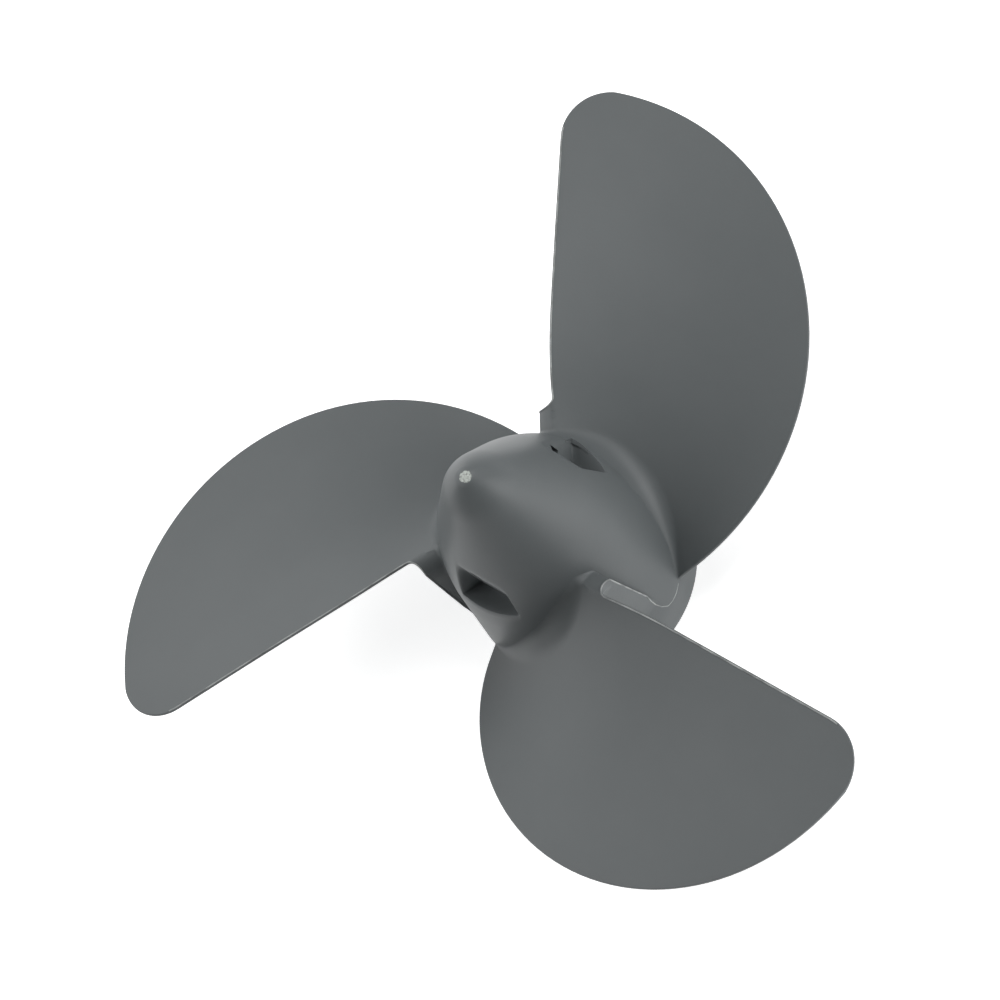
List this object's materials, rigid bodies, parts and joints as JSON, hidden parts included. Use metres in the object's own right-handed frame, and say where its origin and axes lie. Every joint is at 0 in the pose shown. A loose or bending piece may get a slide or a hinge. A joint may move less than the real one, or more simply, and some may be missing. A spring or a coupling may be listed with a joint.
{
  "type": "outboard propeller",
  "caption": "Right-hand three-blade moulded plastic propeller of a small outboard motor, with a bullet-shaped hub kept on its shaft by a split pin.",
  "frame": {"origin": "centre of the hub's front face on the shaft axis, where the part also rests nose up", "axes": "+Z aft along the shaft axis, out of the nose; the split-pin hole lies along Y; X completes a right-handed frame"},
  "size_m": [0.1662, 0.1622, 0.0657],
  "materials": {
    "grey_plastic": "satin"
  },
  "bodies": {
    "root": {"hub": "grey_plastic", "blade_1": "grey_plastic", "blade_2": "grey_plastic", "blade_3": "grey_plastic"}
  },
  "joints": []
}
